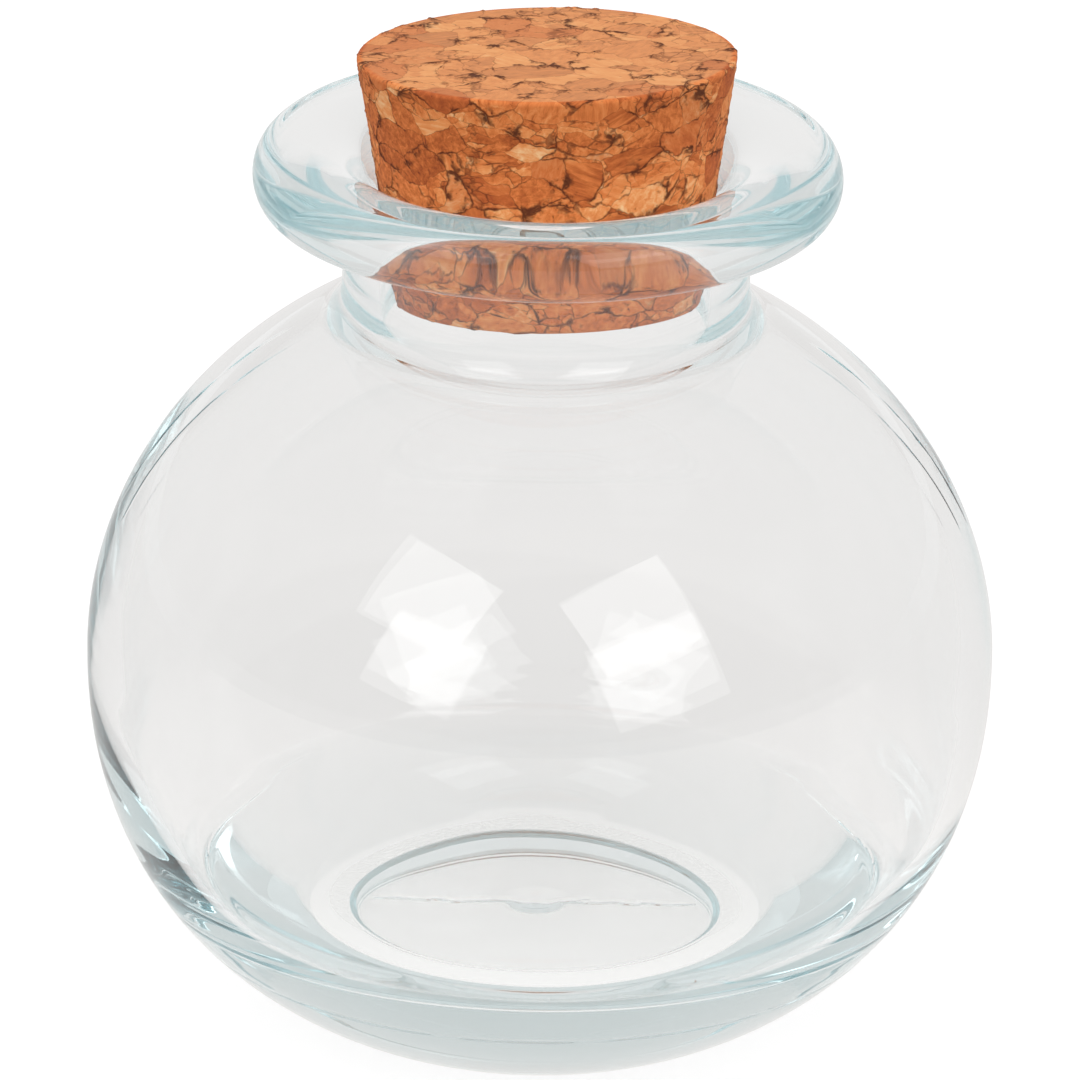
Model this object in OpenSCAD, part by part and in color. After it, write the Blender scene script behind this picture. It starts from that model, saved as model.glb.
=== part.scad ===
// Round glass jar with a flared lip, closed by a tapered stopper of pressed cork.
// Millimetres, +Z up. The origin is the centre of the ring that the jar stands on.
// The jar is one moulded piece of glass and the stopper is one piece of cork.

/* [Body] */
// Diameter of the round body at its widest ring
body_d = 100; // [84:1:130]
// Height of the widest ring above the table
belly_z = 41; // [34:0.5:46]
// Height at which the crown's curve would reach the neck
crown_z = 81; // [76:0.5:85]
// Fullness of the body below the widest ring, where 2 is an ellipse
lower_fullness = 2.2; // [1.8:0.05:3]
// Fullness of the body above the widest ring, where 2 is an ellipse
upper_fullness = 1.94; // [1.7:0.02:2.3]

/* [Base] */
// Outer diameter of the flat ring that the jar stands on
foot_d = 50; // [40:1:60]
// Width of that ring
foot_w = 4.2; // [2:0.2:6]
// Height of the hollow pressed up into the underside
pushup_h = 2.7; // [1.5:0.1:6]
// Squareness of that hollow, with steep sides and a flat roof at high values
pushup_squareness = 3.6; // [2:0.2:6]
// Diameter of the round mark that the mould's pin leaves on the hollow's roof
pin_mark_d = 5.6; // [3:0.2:9]
// How far that mark stands out
pin_mark_h = 0.6; // [0.3:0.1:1.2]

/* [Glass thickness] */
// Thickness of the glass over the hollow in the underside
base_t = 12.8; // [9:0.2:15]
// Thickness of the wall at the widest ring
wall_t = 3.5; // [2.8:0.1:4.5]
// Height between the lower poles of the body's curve and the cavity's, which thickens the heel
heel_t = 9; // [7:0.25:11]
// Thickness of the crown
crown_t = 3.8; // [3:0.1:5]
// How much fuller the cavity is than the body below the widest ring
lower_gain = 0.45; // [0.2:0.05:0.6]
// How much fuller the cavity is than the body above the widest ring
upper_gain = 0.06; // [-0.1:0.02:0.12]
// Radius of the hollow corner between wall and floor
floor_round = 4.3; // [2:0.1:8]

/* [Neck and lip] */
// Height of the jar without its stopper
rim_z = 100; // [97:0.5:108]
// Outside diameter of the neck
neck_d = 44.6; // [43:0.2:50]
// Hollow rounding between crown and neck
shoulder_round = 5; // [3:0.5:7]
// Diameter of the flared lip
lip_d = 64.4; // [60:0.2:76]
// Height of the lip's rounded outer edge
lip_edge_h = 7.4; // [5:0.2:8.4]
// How far that rounding reaches in from the edge
lip_edge_w = 2.8; // [1.6:0.1:4]
// Angle at which the underside of the lip rises outwards
lip_rise = 12; // [4:1:20]
// Hollow rounding between neck and lip
lip_round = 2.5; // [1:0.25:3]

/* [Throat] */
// Diameter of the throat where its wall meets the rounded mouth
throat_d = 36.9; // [34:0.1:38]
// Angle by which the throat widens upwards
throat_taper = 2; // [0:0.5:4]
// Rounding of the mouth, on which the stopper seats
mouth_round = 8; // [5:0.25:9]
// Rounding at the lower end of the throat
throat_round = 2.5; // [1:0.25:4]

/* [Stopper] */
// Length of the stopper
stopper_h = 28; // [22:0.5:34]
// How far the seated stopper stands above the lip
stopper_rise = 12; // [8:0.5:16]
// Angle of the stopper's side
stopper_taper = 9.1; // [6:0.1:12]
// Rounding of the stopper's edges
stopper_round = 0.8; // [0.3:0.1:2]
// Clearance between stopper and mouth
seat_gap = 0.2; // [0.1:0.05:0.3]

/* [Hidden] */

$fn = 180;
dome_steps = 30;
round_steps = 12;
edge_steps = 20;
solve_steps = 40;
first_a = 10;
last_a = 89;
same_point = 0.0001;

glass_color = [0.80, 0.90, 0.89, 0.45];
cork_color = [0.76, 0.53, 0.33];

body_r = body_d/2;
foot_r = foot_d/2;
neck_r = neck_d/2;
throat_r = throat_d/2;
pin_mark_r = pin_mark_d/2;
hollow_r = foot_r - foot_w;
floor_z = pushup_h + base_t;

// Full height of a dome that has risen by rise where its radius has shrunk to r_end
function dome_height(r_end, r, fullness, rise) = rise/pow(1 - pow(r_end/r, fullness), 1/fullness);

// The dome's curve, from its widest ring at angle 0 to its pole at 90, rising or hanging
function dome_point(a, dome) =
    [dome[0]*pow(cos(a), 2/dome[2]), dome[3] + dome[1]*pow(sin(a), 2/dome[2])];

// Unit vector square to that curve, pointing away from the axis
function dome_normal(a, dome) =
    let (v = [pow(cos(a), 2 - 2/dome[2])/dome[0], pow(sin(a), 2 - 2/dome[2])/dome[1]])
    v/norm(v);

// Points of the dome between two angles
function dome_arc(dome, from, to) =
    [for (i = [0:dome_steps]) dome_point(from + (to - from)*i/dome_steps, dome)];

// Points of an ellipse between two angles
function round_arc(centre, half_w, half_h, from, to, steps = round_steps) =
    [for (i = [0:steps])
        let (a = from + (to - from)*i/steps)
        centre + [half_w*cos(a), half_h*sin(a)]];

// An outline without the points at which one stretch repeats the end of the last
function joined(points) =
    [for (i = [0:len(points) - 1])
        if (i == 0 || norm(points[i] - points[max(i, 1) - 1]) > same_point) points[i]];

// Value between low and high at which a rising measure passes zero
function crossing(measure, low, high, steps = solve_steps) =
    let (middle = (low + high)/2)
    steps == 0 ? middle
    : measure(middle) > 0 ? crossing(measure, low, middle, steps - 1)
    : crossing(measure, middle, high, steps - 1);

// Each dome is [radius, height, fullness, height of its widest ring]
lower_h = dome_height(foot_r, body_r, lower_fullness, belly_z);
upper_h = dome_height(neck_r, body_r, upper_fullness, crown_z - belly_z);
outer_lower = [body_r, -lower_h, lower_fullness, belly_z];
outer_upper = [body_r, upper_h, upper_fullness, belly_z];
inner_lower = [body_r - wall_t, heel_t - lower_h, lower_fullness + lower_gain, belly_z];
inner_upper = [body_r - wall_t, upper_h - crown_t, upper_fullness + upper_gain, belly_z];

// Angle on the lower dome at which the body meets the table
foot_a = acos(pow(foot_r/body_r, lower_fullness/2));

// Rounding between crown and neck touches both
function shoulder_centre(a) =
    dome_point(a, outer_upper) + shoulder_round*dome_normal(a, outer_upper);
shoulder_a = crossing(function (a) neck_r + shoulder_round - shoulder_centre(a)[0], first_a, last_a);
shoulder_c = shoulder_centre(shoulder_a);
shoulder_n = dome_normal(shoulder_a, outer_upper);

// The lip's edge is half an ellipse, and its underside is a straight line that touches it
edge_c = [lip_d/2 - lip_edge_w, rim_z - lip_edge_h/2];
edge_a = atan(tan(lip_rise)*2*lip_edge_w/lip_edge_h);
edge_start = edge_c + [lip_edge_w*sin(edge_a), -lip_edge_h/2*cos(edge_a)];
underside_z = edge_start[1] - (edge_start[0] - neck_r)*tan(lip_rise);
lip_round_c = [neck_r + lip_round, underside_z - lip_round*tan((90 - lip_rise)/2)];

// The mouth's rounding touches the flat top of the lip and the throat's wall
mouth_c = [throat_r + mouth_round*cos(throat_taper), rim_z - mouth_round];
mouth_end_z = mouth_c[1] + mouth_round*sin(throat_taper);
function throat_wall_r(z) = throat_r - (mouth_end_z - z)*tan(throat_taper);

// Rounding at the throat's lower end touches the throat's wall and the inside of the crown
function throat_end_centre(a) =
    dome_point(a, inner_upper) + throat_round*dome_normal(a, inner_upper);
function throat_end_miss(a) =
    let (c = throat_end_centre(a))
    throat_round - (c[0] - throat_wall_r(c[1]))*cos(throat_taper);
throat_end_a = crossing(function (a) throat_end_miss(a), first_a, last_a);
throat_end_c = throat_end_centre(throat_end_a);
throat_end_n = dome_normal(throat_end_a, inner_upper);

// Rounding between wall and floor touches both
function floor_centre(a) =
    dome_point(a, inner_lower) - floor_round*dome_normal(a, inner_lower);
floor_a = crossing(function (a) floor_z + floor_round - floor_centre(a)[1], first_a, last_a);
floor_c = floor_centre(floor_a);
floor_n = dome_normal(floor_a, inner_lower);

// The stopper's cone would touch the mouth's rounding here, were it not for the clearance
seat_r = mouth_c[0] - (mouth_round + seat_gap)*cos(stopper_taper);
seat_z = mouth_c[1] + (mouth_round + seat_gap)*sin(stopper_taper);
stopper_top_z = rim_z + stopper_rise;
stopper_base_z = stopper_top_z - stopper_h;
function stopper_r(z) = seat_r + (z - seat_z)*tan(stopper_taper);

// Underside: the pin's mark, the hollow and the standing ring
function underside() = let (
        hollow = [hollow_r, pushup_h, pushup_squareness, 0],
        mark_a = acos(pow(pin_mark_r/hollow_r, pushup_squareness/2)),
        roof_z = dome_point(mark_a, hollow)[1],
        cap_r = (pin_mark_r*pin_mark_r + pin_mark_h*pin_mark_h)/(2*pin_mark_h),
        cap_a = asin(pin_mark_r/cap_r)
    ) concat(
        round_arc([0, roof_z - pin_mark_h + cap_r], cap_r, cap_r, -90, cap_a - 90),
        dome_arc(hollow, mark_a, 0)
    );

// Outside of the body, from the standing ring to the neck
function body_outside() = concat(
    dome_arc(outer_lower, foot_a, 0),
    dome_arc(outer_upper, 0, shoulder_a),
    round_arc(shoulder_c, shoulder_round, shoulder_round,
        atan2(-shoulder_n[1], -shoulder_n[0]), -180)
);

// Lip, from the neck round its outer edge to the throat
function lip() = concat(
    round_arc(lip_round_c, lip_round, lip_round, 180, 90 + lip_rise),
    round_arc(edge_c, lip_edge_w, lip_edge_h/2, edge_a - 90, 90, edge_steps),
    round_arc(mouth_c, mouth_round, mouth_round, 90, 180 - throat_taper)
);

// Inside, from the throat down the wall to the floor
function inside() = concat(
    round_arc(throat_end_c, throat_round, throat_round,
        180 - throat_taper, 360 + atan2(-throat_end_n[1], -throat_end_n[0])),
    dome_arc(inner_upper, throat_end_a, 0),
    dome_arc(inner_lower, 0, floor_a),
    round_arc(floor_c, floor_round, floor_round, atan2(floor_n[1], floor_n[0]), -90),
    [[0, floor_z]]
);

// Moulded glass jar: a round body on a hollowed base, with a heavy flared lip
module glass_jar() {
    color(glass_color)
        rotate_extrude()
            polygon(joined(concat(underside(), body_outside(), lip(), inside())));
}

// Stopper of glued cork granules, turned to a cone
module cork_stopper() {
    half = (90 - stopper_taper)/2;
    wide = (90 + stopper_taper)/2;
    base_c = [
        stopper_r(stopper_base_z) - stopper_round*tan(half),
        stopper_base_z + stopper_round
    ];
    top_c = [
        stopper_r(stopper_top_z) - stopper_round*tan(wide),
        stopper_top_z - stopper_round
    ];
    color(cork_color)
        rotate_extrude()
            polygon(concat(
                [[0, stopper_base_z]],
                round_arc(base_c, stopper_round, stopper_round, -90, -stopper_taper),
                round_arc(top_c, stopper_round, stopper_round, -stopper_taper, 90),
                [[0, stopper_top_z]]
            ));
}

glass_jar();
cork_stopper();
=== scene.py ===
import math
import bmesh
import bpy
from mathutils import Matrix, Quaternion, Vector


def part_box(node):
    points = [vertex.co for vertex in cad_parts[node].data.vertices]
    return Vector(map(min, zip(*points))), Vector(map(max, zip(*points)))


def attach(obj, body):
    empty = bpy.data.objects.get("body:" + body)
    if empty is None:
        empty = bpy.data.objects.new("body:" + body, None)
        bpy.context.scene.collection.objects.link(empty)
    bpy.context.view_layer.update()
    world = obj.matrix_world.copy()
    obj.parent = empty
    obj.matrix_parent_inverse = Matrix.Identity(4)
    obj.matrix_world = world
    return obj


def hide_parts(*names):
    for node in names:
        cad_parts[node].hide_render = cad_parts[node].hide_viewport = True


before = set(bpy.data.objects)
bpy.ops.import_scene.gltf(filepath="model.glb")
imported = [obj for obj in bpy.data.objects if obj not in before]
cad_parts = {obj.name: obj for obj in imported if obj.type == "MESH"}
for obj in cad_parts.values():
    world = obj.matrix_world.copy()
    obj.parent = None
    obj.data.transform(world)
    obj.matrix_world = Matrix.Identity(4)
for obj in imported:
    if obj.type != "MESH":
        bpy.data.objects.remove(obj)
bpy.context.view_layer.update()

# The camera stands in front of the jar and looks down on it through a long lens. It is turned by a
# degree about its own axis, so that the jar leans a little to the right in the picture. Light may turn
# many times on its way through the glass, because the thick lip and base keep much of it inside.
MM = 0.001
scene = bpy.context.scene
view_height = math.radians(22)
view_turn = math.radians(1)
view_distance = 1400*MM
view_centre = Vector((0, 0, 50*MM))
aim = Vector((-0.18*MM, 0, 53.4*MM))
to_camera = Vector((0, -math.cos(view_height), math.sin(view_height)))
picture_right = Vector((1, 0, 0))
picture_up = Vector((0, math.sin(view_height), math.cos(view_height)))

lens = bpy.data.cameras.new("long_lens")
lens.sensor_width = 36
lens.lens = 423.3
lens.clip_start = 0.05
lens.clip_end = 50
camera = bpy.data.objects.new("camera", lens)
camera.location = view_centre + to_camera*view_distance
camera.rotation_mode = "QUATERNION"
camera.rotation_quaternion = (
    (aim - camera.location).to_track_quat("-Z", "Y") @ Quaternion((0, 0, 1), view_turn)
)
scene.collection.objects.link(camera)
scene.camera = camera
scene.view_settings.view_transform = "Standard"
light_turns = 160
scene.cycles.max_bounces = light_turns
scene.cycles.glossy_bounces = light_turns
scene.cycles.transmission_bounces = light_turns


# The table is a wide white board. It is lit as any board is, and the rest of its white comes from the
# board itself, so that it stays white behind the glass and keeps a soft shadow under the jar. Seen
# through the glass, it glows brighter in front of the jar than behind it: that extra glow is painted
# light, a pool of light on the board in front of the jar.
class Wire:
    """A socket in a node tree. Sums on wires add Math nodes, and node() adds any other node."""

    def __init__(self, tree, socket=None):
        self.tree = tree
        self.socket = socket

    def node(self, kind, settings=None, sockets=None):
        made = self.tree.nodes.new(kind)
        for name, value in (settings or {}).items():
            if name == "stops":
                ramp = made.color_ramp.elements
                while len(ramp) > 1:
                    ramp.remove(ramp[-1])
                for count, (place, colour) in enumerate(value):
                    stop = ramp[0] if count == 0 else ramp.new(place)
                    stop.position = place
                    stop.color = colour
            else:
                setattr(made, name, value)
        for name, value in (sockets or {}).items():
            socket = self.pick(made.inputs, name)
            if isinstance(value, Wire):
                self.tree.links.new(value.socket, socket)
            else:
                socket.default_value = value
        first = [s for s in made.outputs if s.enabled]
        return Wire(self.tree, first[0] if first else None)

    @staticmethod
    def pick(sockets, name):
        if isinstance(name, int):
            return sockets[name]
        for socket in sockets:
            if socket.identifier == name:
                return socket
        return next(s for s in sockets if s.name == name and s.enabled)

    def __getitem__(self, name):
        return Wire(self.tree, self.pick(self.socket.node.outputs, name))

    def math(self, operation, *values):
        return self.node("ShaderNodeMath", {"operation": operation}, dict(enumerate(values)))

    def __add__(self, other):
        return self.math("ADD", self, other)

    def __sub__(self, other):
        return self.math("SUBTRACT", self, other)

    def __mul__(self, other):
        return self.math("MULTIPLY", self, other)

    def __truediv__(self, other):
        return self.math("DIVIDE", self, other)

    def __radd__(self, other):
        return self.math("ADD", other, self)

    def __rsub__(self, other):
        return self.math("SUBTRACT", other, self)

    def __rmul__(self, other):
        return self.math("MULTIPLY", other, self)

    def __rtruediv__(self, other):
        return self.math("DIVIDE", other, self)

    def step(self, low, high):
        """0 below low and 1 above high, with a smooth passage between them."""
        return self.node("ShaderNodeMapRange", {"interpolation_type": "SMOOTHSTEP"}, {
            "Value": self, "From Min": low, "From Max": high,
        })


def new_material(name):
    made = bpy.data.materials.new(name)
    made.use_nodes = True
    made.node_tree.nodes.clear()
    return made, Wire(made.node_tree)


board_r = 4000*MM
board_sides = 64
board_colour = (0.25, 0.25, 0.25, 1)
board_glow = 0.84
board_glow_in_glass = 0.585
painted_light_in_front = 0.24
front_to_back = (-60*MM, 90*MM)
white = (1, 1, 1, 1)
warm_white = (1, 0.968, 0.950, 1)
board_mesh = bpy.data.meshes.new("table")
board_shape = bmesh.new()
bmesh.ops.create_circle(board_shape, cap_ends=True, segments=board_sides, radius=board_r)
board_shape.to_mesh(board_mesh)
board_shape.free()
table = bpy.data.objects.new("table", board_mesh)
scene.collection.objects.link(table)
white_board, board = new_material("white_board")
paths = board.node("ShaderNodeLightPath")
in_glass = board.math("MAXIMUM", paths["Is Glossy Ray"], paths["Is Transmission Ray"])
backwards = board.node("ShaderNodeSeparateXYZ", None, {0: board.node("ShaderNodeTexCoord")["Object"]})["Y"]
in_front = 1 - backwards.step(*front_to_back)
# Through glass the board glows more in front of the jar: painted light, a pool of light on the board.
seen = paths["Is Camera Ray"]*board_glow + in_glass*(board_glow_in_glass + in_front*painted_light_in_front)
glow_colour = board.node("ShaderNodeMix", {"data_type": "RGBA"}, {
    "Factor_Float": in_glass, "A_Color": white, "B_Color": warm_white,
})["Result_Color"]
lit = board.node("ShaderNodeBsdfDiffuse", None, {"Color": board_colour})
glow = board.node("ShaderNodeEmission", None, {"Color": glow_colour, "Strength": seen})
both = board.node("ShaderNodeAddShader", None, {0: lit, 1: glow})
board.node("ShaderNodeOutputMaterial", None, {"Surface": both})
board_mesh.materials.append(white_board)

# The room is white all round. Behind the camera it is darker, as a studio is, which shows only in what
# the glass reflects. Little of the lamps' own light gets through the glass, so what stands behind it,
# such as the foot of the cork, gets the rest of that light from the room.
room = bpy.data.worlds.new("studio")
scene.world = room
room.use_nodes = True
room.node_tree.nodes.clear()
sky = Wire(room.node_tree)
paths = sky.node("ShaderNodeLightPath")
towards = sky.node("ShaderNodeTexCoord")["Generated"]
towards = sky.node("ShaderNodeSeparateXYZ", None, {0: towards})
room_low = 0.25
room_high = 0.95
room_side = 0.6
room_front = 0.40
room_in_glass = 0.745
lamps_through_glass = 0.60
front_to_rear = (-0.6, 0.7)
low_to_high = (-0.1, 0.9)
middle_to_side = (0.35, 0.95)
behind = towards["Y"].step(*front_to_rear)
above = towards["Z"].step(*low_to_high)
beside = sky.math("ABSOLUTE", towards["X"]).step(*middle_to_side)
plain = paths["Is Camera Ray"] + paths["Is Transmission Ray"]*room_in_glass
mirrored = paths["Is Glossy Ray"]*(1 - paths["Is Transmission Ray"])*(room_front + (1 - room_front)*behind)
ambient = paths["Is Diffuse Ray"]*(room_low + (room_high - room_low)*above + room_side*beside)
gathered = paths["Is Transmission Ray"]*sky.math("MINIMUM", paths["Diffuse Depth"], 1)*lamps_through_glass
room_colour = sky.node("ShaderNodeMix", {"data_type": "RGBA"}, {
    "Factor_Float": paths["Is Transmission Ray"], "A_Color": white, "B_Color": warm_white,
})["Result_Color"]
shine = sky.node("ShaderNodeBackground", None, {
    "Color": room_colour, "Strength": plain + mirrored + ambient + gathered,
})
sky.node("ShaderNodeOutputWorld", None, {"Surface": shine})

# Two pairs of soft boxes stand left and right of the camera, one box above the other. They show as bright
# squares in the glass. Each is given in degrees, as seen from the jar: how far it stands to the right and
# above the camera, half its width and height, and how far it is turned.
lamp_distance = 1000*MM
lamp_radiance = 1.25
for name, sideways, upwards, half_width, half_height, turn in (
    ("left_upper_box", -29, 21.5, 14, 11.5, -12),
    ("left_lower_box", -29, 3, 12.5, 10.5, -15),
    ("right_upper_box", 24.3, 16.5, 14, 13, 15),
    ("right_lower_box", 29.5, 2, 15, 12, 12),
):
    across = math.radians(sideways)
    rise = math.radians(upwards)
    direction = (
        to_camera*(math.cos(rise)*math.cos(across))
        + picture_right*(math.cos(rise)*math.sin(across))
        + picture_up*math.sin(rise)
    )
    lamp = bpy.data.lights.new(name, "AREA")
    lamp.shape = "RECTANGLE"
    lamp.size = 2*lamp_distance*math.tan(math.radians(half_width))
    lamp.size_y = 2*lamp_distance*math.tan(math.radians(half_height))
    lamp.energy = math.pi*lamp.size*lamp.size_y*lamp_radiance
    box = bpy.data.objects.new(name, lamp)
    box.location = view_centre + direction*lamp_distance
    box.rotation_mode = "QUATERNION"
    box.rotation_quaternion = direction.to_track_quat("Z", "Y") @ Quaternion((0, 0, 1), math.radians(turn))
    box.visible_camera = False
    scene.collection.objects.link(box)

# The jar is one piece of pale recycled glass, blown in a mould of two halves with a separate bottom, and
# its lip is pressed flat and fire-polished. The seams, the bottom's ring and the pin's mark stay on it,
# and the wall is uneven, as blown glass is: low down it is thicker at the left and right of the back.
low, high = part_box("glass_jar")
body_r = (high.x - low.x)/2/MM
rim_z = high.z/MM
belly_z = 41
crown_z = 81
lower_fullness = 2.2
upper_fullness = 1.94
foot_r = 25
foot_w = 4.2
pushup_h = 2.7
pushup_squareness = 3.6
pin_mark_r = 2.8
pin_mark_h = 0.6
base_t = 12.8
wall_t = 3.5
heel_t = 9
crown_t = 3.8
lower_gain = 0.45
upper_gain = 0.06
floor_round = 4.3
neck_r = 22.3
shoulder_round = 5
lip_r = 32.2
lip_edge_h = 7.4
lip_edge_w = 2.8
lip_rise = math.radians(12)
lip_round = 2.5
throat_r = 18.45
throat_taper = math.radians(2)
mouth_round = 8
throat_round = 2.5
same_point = 0.0001
halvings = 40


def dome_height(r_end, r, fullness, rise):
    """Full height of a dome that has risen by rise where its radius has shrunk to r_end."""
    return rise/(1 - (r_end/r)**fullness)**(1/fullness)


def dome_point(a, dome):
    """The dome's curve, from its widest ring at angle 0 to its pole at a right angle."""
    r, h, fullness, z = dome
    return Vector((r*math.cos(a)**(2/fullness), z + h*math.sin(a)**(2/fullness)))


def dome_normal(a, dome):
    r, h, fullness, z = dome
    power = 2 - 2/fullness
    return Vector((math.cos(a)**power/r, math.sin(a)**power/h)).normalized()


def dome_arc(dome, start, end, steps):
    return [dome_point(start*(1 - i/steps) + end*i/steps, dome) for i in range(steps + 1)]


def round_arc(centre, half_w, half_h, start, end, steps):
    turns = [start + (end - start)*i/steps for i in range(steps + 1)]
    return [centre + Vector((half_w*math.cos(a), half_h*math.sin(a))) for a in turns]


def crossing(measure, start, end):
    """Where a rising measure passes zero."""
    for _ in range(halvings):
        middle = (start + end)/2
        if measure(middle) > 0:
            end = middle
        else:
            start = middle
    return middle


def joined(points):
    """The outline without the points at which one stretch repeats the end of the last."""
    return [p for i, p in enumerate(points) if i == 0 or (p - points[i - 1]).length > same_point]


quarter = math.pi/2
almost_flat = math.radians(10)
almost_steep = math.radians(89)
lower_h = dome_height(foot_r, body_r, lower_fullness, belly_z)
upper_h = dome_height(neck_r, body_r, upper_fullness, crown_z - belly_z)
outer_lower = (body_r, -lower_h, lower_fullness, belly_z)
outer_upper = (body_r, upper_h, upper_fullness, belly_z)
inner_lower = (body_r - wall_t, heel_t - lower_h, lower_fullness + lower_gain, belly_z)
inner_upper = (body_r - wall_t, upper_h - crown_t, upper_fullness + upper_gain, belly_z)
floor_z = pushup_h + base_t
foot_a = math.acos((foot_r/body_r)**(lower_fullness/2))
plate_line_r = 39.4
plate_a = math.acos((plate_line_r/body_r)**(lower_fullness/2))
plate_zone = math.radians(1)


def shoulder_centre(a):
    return dome_point(a, outer_upper) + shoulder_round*dome_normal(a, outer_upper)


shoulder_a = crossing(lambda a: neck_r + shoulder_round - shoulder_centre(a).x, almost_flat, almost_steep)
shoulder_c = shoulder_centre(shoulder_a)
shoulder_n = dome_normal(shoulder_a, outer_upper)
edge_c = Vector((lip_r - lip_edge_w, rim_z - lip_edge_h/2))
edge_a = math.atan(math.tan(lip_rise)*2*lip_edge_w/lip_edge_h)
edge_start = edge_c + Vector((lip_edge_w*math.sin(edge_a), -lip_edge_h/2*math.cos(edge_a)))
under_z = edge_start.y - (edge_start.x - neck_r)*math.tan(lip_rise)
lip_round_c = Vector((neck_r + lip_round, under_z - lip_round*math.tan((quarter - lip_rise)/2)))
mouth_c = Vector((throat_r + mouth_round*math.cos(throat_taper), rim_z - mouth_round))
mouth_end_z = mouth_c.y + mouth_round*math.sin(throat_taper)


def throat_end_centre(a):
    return dome_point(a, inner_upper) + throat_round*dome_normal(a, inner_upper)


def throat_end_miss(a):
    centre = throat_end_centre(a)
    wall_r = throat_r - (mouth_end_z - centre.y)*math.tan(throat_taper)
    return throat_round - (centre.x - wall_r)*math.cos(throat_taper)


throat_end_a = crossing(throat_end_miss, almost_flat, almost_steep)
throat_end_c = throat_end_centre(throat_end_a)
throat_end_n = dome_normal(throat_end_a, inner_upper)


def floor_centre(a):
    return dome_point(a, inner_lower) - floor_round*dome_normal(a, inner_lower)


floor_a = crossing(lambda a: floor_z + floor_round - floor_centre(a).y, almost_flat, almost_steep)
floor_c = floor_centre(floor_a)
floor_n = dome_normal(floor_a, inner_lower)

hollow = (foot_r - foot_w, pushup_h, pushup_squareness, 0)
mark_a = math.acos((pin_mark_r/hollow[0])**(pushup_squareness/2))
cap_r = (pin_mark_r**2 + pin_mark_h**2)/(2*pin_mark_h)
cap_a = math.asin(pin_mark_r/cap_r)
cap_c = Vector((0, dome_point(mark_a, hollow).y - pin_mark_h + cap_r))
outside = joined(
    round_arc(cap_c, cap_r, cap_r, -quarter, cap_a - quarter, steps=6)
    + dome_arc(hollow, mark_a, 0, steps=50)
    + dome_arc(outer_lower, foot_a, plate_a + plate_zone, steps=8)
    + dome_arc(outer_lower, plate_a + plate_zone, plate_a - plate_zone, steps=10)
    + dome_arc(outer_lower, plate_a - plate_zone, 0, steps=22)
    + dome_arc(outer_upper, 0, shoulder_a, steps=38)
    + round_arc(shoulder_c, shoulder_round, shoulder_round,
                math.atan2(-shoulder_n.y, -shoulder_n.x), -math.pi, steps=12)
    + round_arc(lip_round_c, lip_round, lip_round, math.pi, quarter + lip_rise, steps=8)
    + round_arc(edge_c, lip_edge_w, lip_edge_h/2, edge_a - quarter, quarter, steps=28)
)
floor_steps = 12
inside = joined(
    round_arc(mouth_c, mouth_round, mouth_round, quarter, math.pi - throat_taper, steps=16)
    + round_arc(throat_end_c, throat_round, throat_round, math.pi - throat_taper,
                2*math.pi + math.atan2(-throat_end_n.y, -throat_end_n.x), steps=10)
    + dome_arc(inner_upper, throat_end_a, 0, steps=36)
    + dome_arc(inner_lower, 0, floor_a, steps=36)
    + round_arc(floor_c, floor_round, floor_round, math.atan2(floor_n.y, floor_n.x), -quarter, steps=12)
    + [Vector((floor_c.x*(1 - i/floor_steps), floor_z)) for i in range(1, floor_steps + 1)]
)
outline = joined(outside + inside)


def outline_to_mesh(name, points, mark, marked):
    """The outline as a line of points, with an attribute that is 1 on the marked ones."""
    mesh = bpy.data.meshes.new(name)
    links = [(i, i + 1) for i in range(len(points) - 1)]
    mesh.from_pydata([(p.x*MM, 0, p.y*MM) for p in points], links, [])
    share = mesh.attributes.new(mark, "FLOAT", "POINT")
    for i in marked:
        share.data[i].value = 1.0
    return mesh


outline_mesh = outline_to_mesh("jar_outline", outline, "inside", range(len(outside), len(outline)))


def turned_about_axis(turn, outline, steps, crowding, mark):
    """Adds the nodes that turn an outline about the Z axis: a grid has a row for each of its points and a
    column for each step of the turn, and crowding draws the columns together at the left and right."""
    rows = turn.node("GeometryNodeAttributeDomainSize", None, {"Geometry": outline})["Point Count"]
    columns = steps + 1
    grid = turn.node("GeometryNodeMeshGrid", None, {"Vertices X": rows, "Vertices Y": columns})
    index = turn.node("GeometryNodeInputIndex")
    row = turn.math("FLOOR", (index + 0.5)/columns)
    even = (index - row*columns)/steps*(2*math.pi)
    angle = even - crowding*turn.math("SINE", even*2)
    place = turn.node("GeometryNodeSampleIndex", {"data_type": "FLOAT_VECTOR", "domain": "POINT"}, {
        "Geometry": outline, "Value": turn.node("GeometryNodeInputPosition"), "Index": row,
    })
    is_marked = turn.node("GeometryNodeSampleIndex", {"data_type": "FLOAT", "domain": "POINT"}, {
        "Geometry": outline,
        "Value": turn.node("GeometryNodeInputNamedAttribute", {"data_type": "FLOAT"}, {"Name": mark}),
        "Index": row,
    })
    parts = turn.node("ShaderNodeSeparateXYZ", None, {0: place})
    turned = turn.node("ShaderNodeCombineXYZ", None, {
        "X": parts["X"]*turn.math("COSINE", angle),
        "Y": parts["X"]*turn.math("SINE", angle),
        "Z": parts["Z"],
    })
    revolved = turn.node("GeometryNodeSetPosition", None, {"Geometry": grid, "Position": turned})
    kept = turn.node("GeometryNodeStoreNamedAttribute", {"data_type": "FLOAT", "domain": "POINT"}, {
        "Geometry": revolved, "Name": mark, "Value": is_marked,
    })
    return turn.node("GeometryNodeMergeByDistance", None, {"Geometry": kept, "Distance": same_point*MM})


def moved(turn, shape, lift):
    """Adds the nodes that move each point of a shape along its normal."""
    offset = turn.node("ShaderNodeVectorMath", {"operation": "SCALE"}, {
        0: turn.node("GeometryNodeInputNormal"), "Scale": lift,
    })
    return turn.node("GeometryNodeSetPosition", None, {"Geometry": shape, "Offset": offset})


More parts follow.
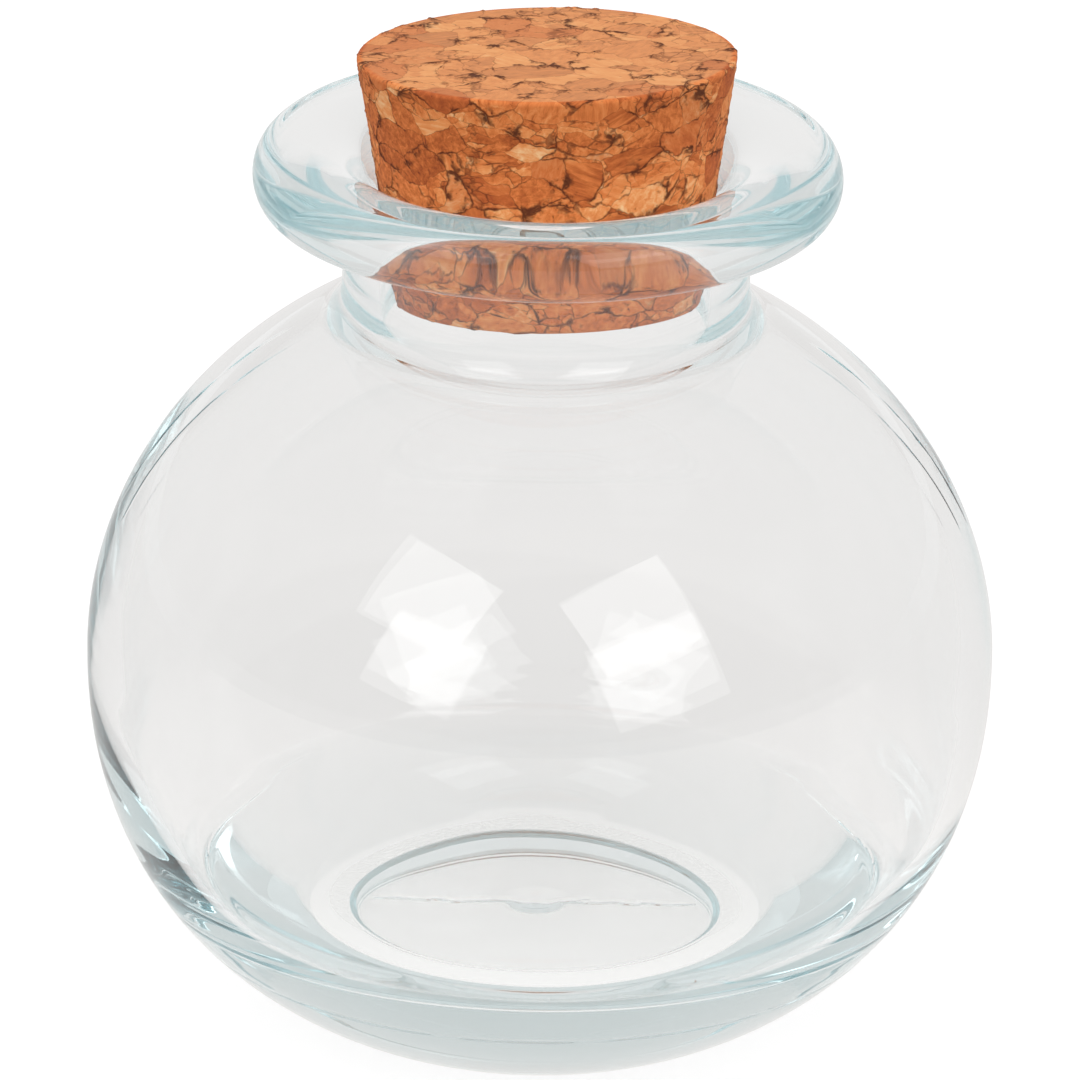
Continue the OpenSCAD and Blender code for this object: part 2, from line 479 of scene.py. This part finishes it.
def finished(turn, shape, material):
    """Adds the nodes that close a group: smooth shading, real geometry and the material."""
    smooth = turn.node("GeometryNodeSetShadeSmooth", None, {"Geometry": shape, "Shade Smooth": True})
    real = turn.node("GeometryNodeRealizeInstances", None, {"Geometry": smooth})
    coated = turn.node("GeometryNodeSetMaterial", None, {"Geometry": real, "Material": material})
    turn.node("NodeGroupOutput", None, {"Geometry": coated})


def new_group(name, inputs):
    """A geometry node group with one geometry in and out, and the named inputs that it is given."""
    group = bpy.data.node_groups.new(name, "GeometryNodeTree")
    group.interface.new_socket("Geometry", in_out="INPUT", socket_type="NodeSocketGeometry")
    group.interface.new_socket("Geometry", in_out="OUTPUT", socket_type="NodeSocketGeometry")
    for label, kind, value in inputs:
        socket = group.interface.new_socket(label, in_out="INPUT", socket_type="NodeSocket" + kind)
        if value is not None:
            socket.default_value = value
    return group, Wire(group)


def ridge(wire, distance, half_width):
    """1 on a line and 0 beyond half its width."""
    return 1 - wire.math("ABSOLUTE", distance).step(0, half_width)


def facing(side, place, radius):
    """How squarely a place on the jar faces one side: 1 straight towards it, and 0 a quarter turn away."""
    return (place["X"]*side[0] + place["Y"]*side[1])/radius


blowing, blow = new_group("blown_in_a_mould", (
    ("Steps Round", "Int", 300),
    ("Crowding At Seams", "Float", 0.40),
    ("Seam Height", "Float", 0.10*MM),
    ("Seam Half Width", "Float", 0.5*MM),
    ("Plate Line Radius", "Float", plate_line_r*MM),
    ("Plate Line Height", "Float", 0.09*MM),
    ("Plate Line Half Width", "Float", 0.4*MM),
    ("Parting Height", "Float", 0.45*MM),
    ("Parting Half Width", "Float", 0.45*MM),
    ("Parting Wander", "Float", 3*MM),
    ("Heavy Side Thickness", "Float", 1.7*MM),
    ("Ripple Depth", "Float", 0.12*MM),
    ("Ripple Size", "Float", 22*MM),
    ("Glass", "Material", None),
))
# Each pair says where a mark begins or ends: by height, by radius, or by the noise that breaks it up.
seam_starts = (54*MM, 62*MM)
seam_ends = (72*MM, 82*MM)
seam_patches = (0.42, 0.55)
plate_ends = (20*MM, 24*MM)
plate_patches = (0.35, 0.50)
parting_ends = (16*MM, 18*MM)
hollow_ends = (4*MM, 5*MM)
ripple_starts = (3*MM, 12*MM)
left_back = (-0.8, 0.6)
left_spread = (0.1, 0.95)
left_ends = (22*MM, 38*MM)
right_back = (0.8, 0.6)
right_spread = (0.2, 1.0)
right_ends = (14*MM, 26*MM)
heavy_starts = (12*MM, 20*MM)
given = blow.node("NodeGroupInput")
closed = turned_about_axis(
    blow, given["Geometry"], given["Steps Round"], given["Crowding At Seams"], "inside",
)
where = blow.node("GeometryNodeInputPosition")
xyz = blow.node("ShaderNodeSeparateXYZ", None, {0: where})
is_inner = blow.node("GeometryNodeInputNamedAttribute", {"data_type": "FLOAT"}, {"Name": "inside"})
is_outer = 1 - is_inner
radius = blow.math("SQRT", xyz["X"]*xyz["X"] + xyz["Y"]*xyz["Y"])
wave = blow.node("ShaderNodeTexNoise", {"noise_dimensions": "3D"}, {
    "Vector": where, "Scale": 1/given["Ripple Size"], "Detail": 1.0,
})
uneven = blow.node("ShaderNodeTexNoise", {"noise_dimensions": "3D"}, {
    "Vector": where, "Scale": 0.3/MM, "Detail": 2.0,
})
ripple = (wave - 0.5)*2*given["Ripple Depth"]*is_inner*radius.step(*ripple_starts)
seam = ridge(blow, xyz["Y"], given["Seam Half Width"])
seam = seam*xyz["Z"].step(*seam_starts)*(1 - xyz["Z"].step(*seam_ends))
seam = seam*uneven.step(*seam_patches)*given["Seam Height"]
plate = ridge(blow, radius - given["Plate Line Radius"], given["Plate Line Half Width"])
plate = plate*(1 - xyz["Z"].step(*plate_ends))
plate = plate*uneven.step(*plate_patches)*given["Plate Line Height"]
parting = ridge(blow, xyz["Y"] + (uneven - 0.5)*given["Parting Wander"], given["Parting Half Width"])
parting = parting*(1 - radius.step(*parting_ends))
parting = parting*(1 - xyz["Z"].step(*hollow_ends))*given["Parting Height"]
shaped = moved(blow, closed, ripple + (seam + plate - parting)*is_outer)
left_side = facing(left_back, xyz, radius).step(*left_spread)*(1 - xyz["Z"].step(*left_ends))
right_side = facing(right_back, xyz, radius).step(*right_spread)*(1 - xyz["Z"].step(*right_ends))
heavy = is_inner*(left_side + right_side)*xyz["Z"].step(*heavy_starts)
inwards = heavy*given["Heavy Side Thickness"]/radius*-1
pressed_in = blow.node("GeometryNodeSetPosition", None, {"Geometry": shaped, "Offset": blow.node(
    "ShaderNodeCombineXYZ", None, {"X": xyz["X"]*inwards, "Y": xyz["Y"]*inwards},
)})
finished(blow, pressed_in, given["Glass"])

recycled_glass, glass = new_material("recycled_glass")
glass_index = 1.5
glass_colour = (1, 1, 1, 1)
tint = (0.37, 0.66, 0.70, 1)
tint_density = 6
surface = glass.node("ShaderNodeBsdfPrincipled", None, {
    "Base Color": glass_colour, "Roughness": 0.0, "IOR": glass_index, "Transmission Weight": 1.0,
})
depth = glass.node("ShaderNodeVolumeAbsorption", None, {"Color": tint, "Density": tint_density})
glass.node("ShaderNodeOutputMaterial", None, {"Surface": surface, "Volume": depth})


def bake_nodes(name, start_mesh, group, values):
    """The mesh that a node group makes from a starting mesh, as a plain object with no modifier."""
    carrier = bpy.data.objects.new(name + "_start", start_mesh)
    scene.collection.objects.link(carrier)
    modifier = carrier.modifiers.new("nodes", "NODES")
    modifier.node_group = group
    sockets = {item.name: item.identifier for item in group.interface.items_tree if item.in_out == "INPUT"}
    for key, value in values.items():
        modifier[sockets[key]] = value
    evaluated = carrier.evaluated_get(bpy.context.evaluated_depsgraph_get())
    mesh = bpy.data.meshes.new_from_object(evaluated)
    carrier.modifiers.clear()
    bpy.data.objects.remove(carrier)
    shape = bmesh.new()
    shape.from_mesh(mesh)
    bmesh.ops.recalc_face_normals(shape, faces=shape.faces)
    if shape.calc_volume(signed=True) < 0:
        bmesh.ops.reverse_faces(shape, faces=shape.faces)
    shape.to_mesh(mesh)
    shape.free()
    made = bpy.data.objects.new(name, mesh)
    scene.collection.objects.link(made)
    return made


jar = bake_nodes("glass_jar_shape", outline_mesh, blowing, {"Glass": recycled_glass})
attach(jar, "jar")
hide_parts("glass_jar")

# The stopper is cut from a block of cork granules, pressed and glued, and turned to a cone. Its sides
# and ends show the cut granules, with dark glue and pits between them. It was pushed in a little askew.
cork_low, cork_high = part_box("cork_stopper")
# Because it leans, it is slimmer than its solid and sits lower, to clear the glass and stay in the box.
stopper_room = 0.45
stopper_sunk = 2.2
stopper_top_r = (cork_high.x - cork_low.x)/2/MM - stopper_room
stopper_h = 26.4
stopper_top_z = cork_high.z/MM - stopper_sunk
stopper_taper = math.radians(9.1)
stopper_round = 0.4
stopper_lean = math.radians(-5)
stopper_tip = math.radians(-1.3)
lean_about_z = 95
stopper_base_r = stopper_top_r - stopper_h*math.tan(stopper_taper)
stopper_base_z = stopper_top_z - stopper_h
base_corner = (quarter - stopper_taper)/2
top_corner = (quarter + stopper_taper)/2
base_c = Vector((stopper_base_r - stopper_round*math.tan(base_corner), stopper_base_z + stopper_round))
top_c = Vector((stopper_top_r - stopper_round*math.tan(top_corner), stopper_top_z - stopper_round))
base_edge = round_arc(base_c, stopper_round, stopper_round, -quarter, -stopper_taper, steps=5)
top_edge = round_arc(top_c, stopper_round, stopper_round, -stopper_taper, quarter, steps=6)


def straight(start, end, steps):
    return [start.lerp(end, i/steps) for i in range(steps + 1)]


base_end = straight(Vector((0, base_edge[0].y)), base_edge[0], steps=34)
side = straight(base_edge[-1], top_edge[0], steps=86)
top_end = straight(top_edge[-1], Vector((0, top_edge[-1].y)), steps=56)
stopper_outline = joined(base_end + base_edge + side + top_edge + top_end)
corners = len(stopper_outline)
sawn = [i for i in range(corners) if i < len(base_end) or i > corners - len(top_end)]


def vector_sum(wire, one, factor, other):
    return wire.node("ShaderNodeVectorMath", {"operation": "MULTIPLY_ADD"}, {0: one, 1: factor, 2: other})


swirl_scale = 0.16/MM
swirl_reach = (4.5*MM, 4.5*MM, 4*MM)
ragged_scale = 0.9/MM
ragged_reach = (1.0*MM, 1.0*MM, 0.7*MM)
granule_scale = 0.20/MM
crumb_scale = 0.50/MM
granule_squash = (1, 1, 1.8)
worn_scale = 0.34/MM


def granules(wire, place):
    """Adds the nodes of the cork's granules at a place: a random colour for each one, the distance from its
    edge, the same two for the crumbs between the granules, and how worn the place is."""
    swirl = wire.node("ShaderNodeTexNoise", {"noise_dimensions": "3D"}, {
        "Vector": place, "Scale": swirl_scale, "Detail": 1.0,
    })["Color"]
    ragged = wire.node("ShaderNodeTexNoise", {"noise_dimensions": "3D"}, {
        "Vector": place, "Scale": ragged_scale, "Detail": 2.0,
    })["Color"]
    bent = vector_sum(wire, swirl, swirl_reach, place)
    bent = vector_sum(wire, ragged, ragged_reach, bent)
    pressed = wire.node("ShaderNodeVectorMath", {"operation": "MULTIPLY"}, {0: bent, 1: granule_squash})
    large = {"Vector": pressed, "Scale": granule_scale, "Randomness": 1.0}
    small = {"Vector": pressed, "Scale": crumb_scale, "Randomness": 1.0}
    kind = wire.node("ShaderNodeTexVoronoi", {"feature": "F1"}, large)["Color"]
    gap = wire.node("ShaderNodeTexVoronoi", {"feature": "DISTANCE_TO_EDGE"}, large)["Distance"]
    crumb_kind = wire.node("ShaderNodeTexVoronoi", {"feature": "F1"}, small)["Color"]
    crumb_gap = wire.node("ShaderNodeTexVoronoi", {"feature": "DISTANCE_TO_EDGE"}, small)["Distance"]
    worn = wire.node("ShaderNodeTexNoise", {"noise_dimensions": "3D"}, {
        "Vector": place, "Scale": worn_scale, "Detail": 4.0, "Roughness": 0.6,
    })
    return kind, gap, crumb_kind, crumb_gap, worn


joint_gap = (0.0, 0.07)
joint_wear = (0.46, 0.60)
pit_gap = (0.05, 0.24)
pit_wear = (0.55, 0.64)
pit_reach = (0.05, 0.30)


def hollows(gap, crumb_gap, worn):
    """How far the surface has crumbled away: in worn stretches of the joints, and in pits among crumbs."""
    joint = (1 - gap.step(*joint_gap))*worn.step(*joint_wear)
    pit = (1 - crumb_gap.step(*pit_gap))*worn.step(*pit_wear)*(1 - gap.step(*pit_reach))
    return joint.math("MAXIMUM", joint, pit)


pressing, press = new_group("pressed_granules", (
    ("Steps Round", "Int", 400),
    ("Pit Depth", "Float", 0.15*MM),
    ("Cork", "Material", None),
))
given = press.node("NodeGroupInput")
cone = turned_about_axis(press, given["Geometry"], given["Steps Round"], 0.0, "sawn_end")
leant = press.node("ShaderNodeVectorRotate", {"rotation_type": "EULER_XYZ"}, {
    "Vector": press.node("GeometryNodeInputPosition"),
    "Center": (0, 0, lean_about_z*MM),
    "Rotation": (stopper_lean, stopper_tip, 0),
})
askew = press.node("GeometryNodeSetPosition", None, {"Geometry": cone, "Position": leant})
kind, gap, crumb_kind, crumb_gap, worn = granules(press, press.node("GeometryNodeInputPosition"))
depth = hollows(gap, crumb_gap, worn)*given["Pit Depth"]
finished(press, moved(press, askew, 0 - depth), given["Cork"])

cork_shades = (
    (0.0, (0.28, 0.055, 0.012, 1)),
    (0.25, (0.52, 0.125, 0.028, 1)),
    (0.5, (0.75, 0.215, 0.055, 1)),
    (0.75, (0.87, 0.335, 0.110, 1)),
    (1.0, (0.96, 0.580, 0.290, 1)),
)
# Paler colour for the sawn ends: partly the cut cork's own colour, partly painted light from above.
sawn_and_lit_colour = (0.70, 0.41, 0.19, 1)
sawn_and_lit_share = 0.36
sawn_calm = 0.25
red_colour = (0.50, 0.105, 0.026, 1)
red_share = 0.35
red_kinds = (0.84, 0.86)
# Near-black of the glue lines, also used for the painted shade in the hollows.
glue_and_hollow_shade_colour = (0.085, 0.020, 0.007, 1)
tone_share = 0.62
grain_share = 1.15
mottle_share = 0.5
crumb_share = 0.7
broken_kinds = (0.55, 0.57)
grain_stretch = 0.88
grain_tilt = 0.45
grain_scale = 1.7/MM
mottle_scale = 0.55/MM
thinnest_line = 0.012
line_widening = 0.055
widening_wear = (0.38, 0.66)
line_edge = (0.2, 1.0)
line_wear = (0.24, 0.44)
crumb_line_share = 1.6
crumb_line_wear = (0.38, 0.55)
speck_grain = (0.30, 0.37)
speck_wear = (0.40, 0.52)
line_darkness = 0.42
line_darkening = 0.45
darkening_wear = (0.42, 0.60)
crumb_line_darkness = 0.60
speck_darkness = 0.75
hollow_darkness = 0.95
grain_relief = 0.5
joint_relief = 0.6
cork_roughness = 0.78
glue_roughness_gain = 0.15

pressed_cork, cork = new_material("pressed_cork")
place = cork.node("ShaderNodeTexCoord")["Object"]
sawn_end = cork.node("ShaderNodeAttribute", {"attribute_name": "sawn_end"})["Fac"]
kind, gap, crumb_kind, crumb_gap, worn = granules(cork, place)
first = cork.node("ShaderNodeSeparateXYZ", None, {0: kind})
second = cork.node("ShaderNodeSeparateXYZ", None, {0: crumb_kind})
broken = first["Y"].step(*broken_kinds)
along = vector_sum(cork, kind, (2, 2, 2*grain_tilt), (-1, -1, -grain_tilt))
along = cork.node("ShaderNodeVectorMath", {"operation": "NORMALIZE"}, {0: along})
down_grain = cork.node("ShaderNodeVectorMath", {"operation": "DOT_PRODUCT"}, {0: place, 1: along})["Value"]
shrink = cork.node("ShaderNodeCombineXYZ", None, {
    "X": down_grain*-grain_stretch, "Y": down_grain*-grain_stretch, "Z": down_grain*-grain_stretch,
})
squeezed = vector_sum(cork, along, shrink, place)
grain = cork.node("ShaderNodeTexNoise", {"noise_dimensions": "3D"}, {
    "Vector": squeezed, "Scale": grain_scale, "Detail": 5.0, "Roughness": 0.66, "Distortion": 0.5,
})
mottle = cork.node("ShaderNodeTexNoise", {"noise_dimensions": "3D"}, {
    "Vector": place, "Scale": mottle_scale, "Detail": 5.0, "Roughness": 0.6,
})
tone = first["X"]*(1 - broken*crumb_share) + second["X"]*broken*crumb_share
lively = 1 - sawn_end*sawn_calm
value = 0.5 + ((tone - 0.5)*tone_share + (grain - 0.5)*grain_share + (mottle - 0.5)*mottle_share)*lively
side_shade = cork.node("ShaderNodeValToRGB", {"stops": cork_shades}, {"Fac": value})["Color"]
# The sawn ends are mixed towards a paler colour: partly the cut cork's own colour, and partly painted
# light, the top made lighter as if lit from above.
shade = cork.node("ShaderNodeMix", {"data_type": "RGBA"}, {
    "Factor_Float": sawn_end*sawn_and_lit_share, "A_Color": side_shade, "B_Color": sawn_and_lit_colour,
})["Result_Color"]
shade = cork.node("ShaderNodeMix", {"data_type": "RGBA"}, {
    "Factor_Float": first["Z"].step(*red_kinds)*red_share, "A_Color": shade, "B_Color": red_colour,
})["Result_Color"]

# The glue is a fine dark line round each granule, and specks of bark lie among the crumbs.
line_width = worn.step(*widening_wear)*line_widening + thinnest_line
line = (1 - (gap/line_width).step(*line_edge))*worn.step(*line_wear)
crumb_line = (1 - (crumb_gap/(line_width*crumb_line_share)).step(*line_edge))*broken
crumb_line = crumb_line*worn.step(*crumb_line_wear)
speck = (1 - grain.step(*speck_grain))*worn.step(*speck_wear)
line = line*(line_darkness + worn.step(*darkening_wear)*line_darkening)
joints = cork.math("MAXIMUM", line, crumb_line*crumb_line_darkness)
joints = cork.math("MAXIMUM", joints, speck*speck_darkness)*lively
# The hollows are mixed almost to the glue's near-black: partly dark glue and bark, and partly painted shade
# in the pits.
dark = cork.math("MAXIMUM", joints, hollows(gap, crumb_gap, worn)*hollow_darkness)
tinted = cork.node("ShaderNodeMix", {"data_type": "RGBA"}, {
    "Factor_Float": dark, "A_Color": shade, "B_Color": glue_and_hollow_shade_colour,
})["Result_Color"]
relief = grain*grain_relief + (1 - dark)*joint_relief
fine = cork.node("ShaderNodeBump", None, {"Strength": 0.45, "Distance": 0.25*MM, "Height": relief})
matt = cork.node("ShaderNodeBsdfPrincipled", None, {
    "Base Color": tinted,
    "Roughness": cork_roughness + dark*glue_roughness_gain,
    "Specular IOR Level": 0.25,
    "Normal": fine,
})
cork.node("ShaderNodeOutputMaterial", None, {"Surface": matt})

stopper_mesh = outline_to_mesh("stopper_outline", stopper_outline, "sawn_end", sawn)
stopper = bake_nodes("cork_stopper_shape", stopper_mesh, pressing, {"Cork": pressed_cork})
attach(stopper, "stopper")
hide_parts("cork_stopper")
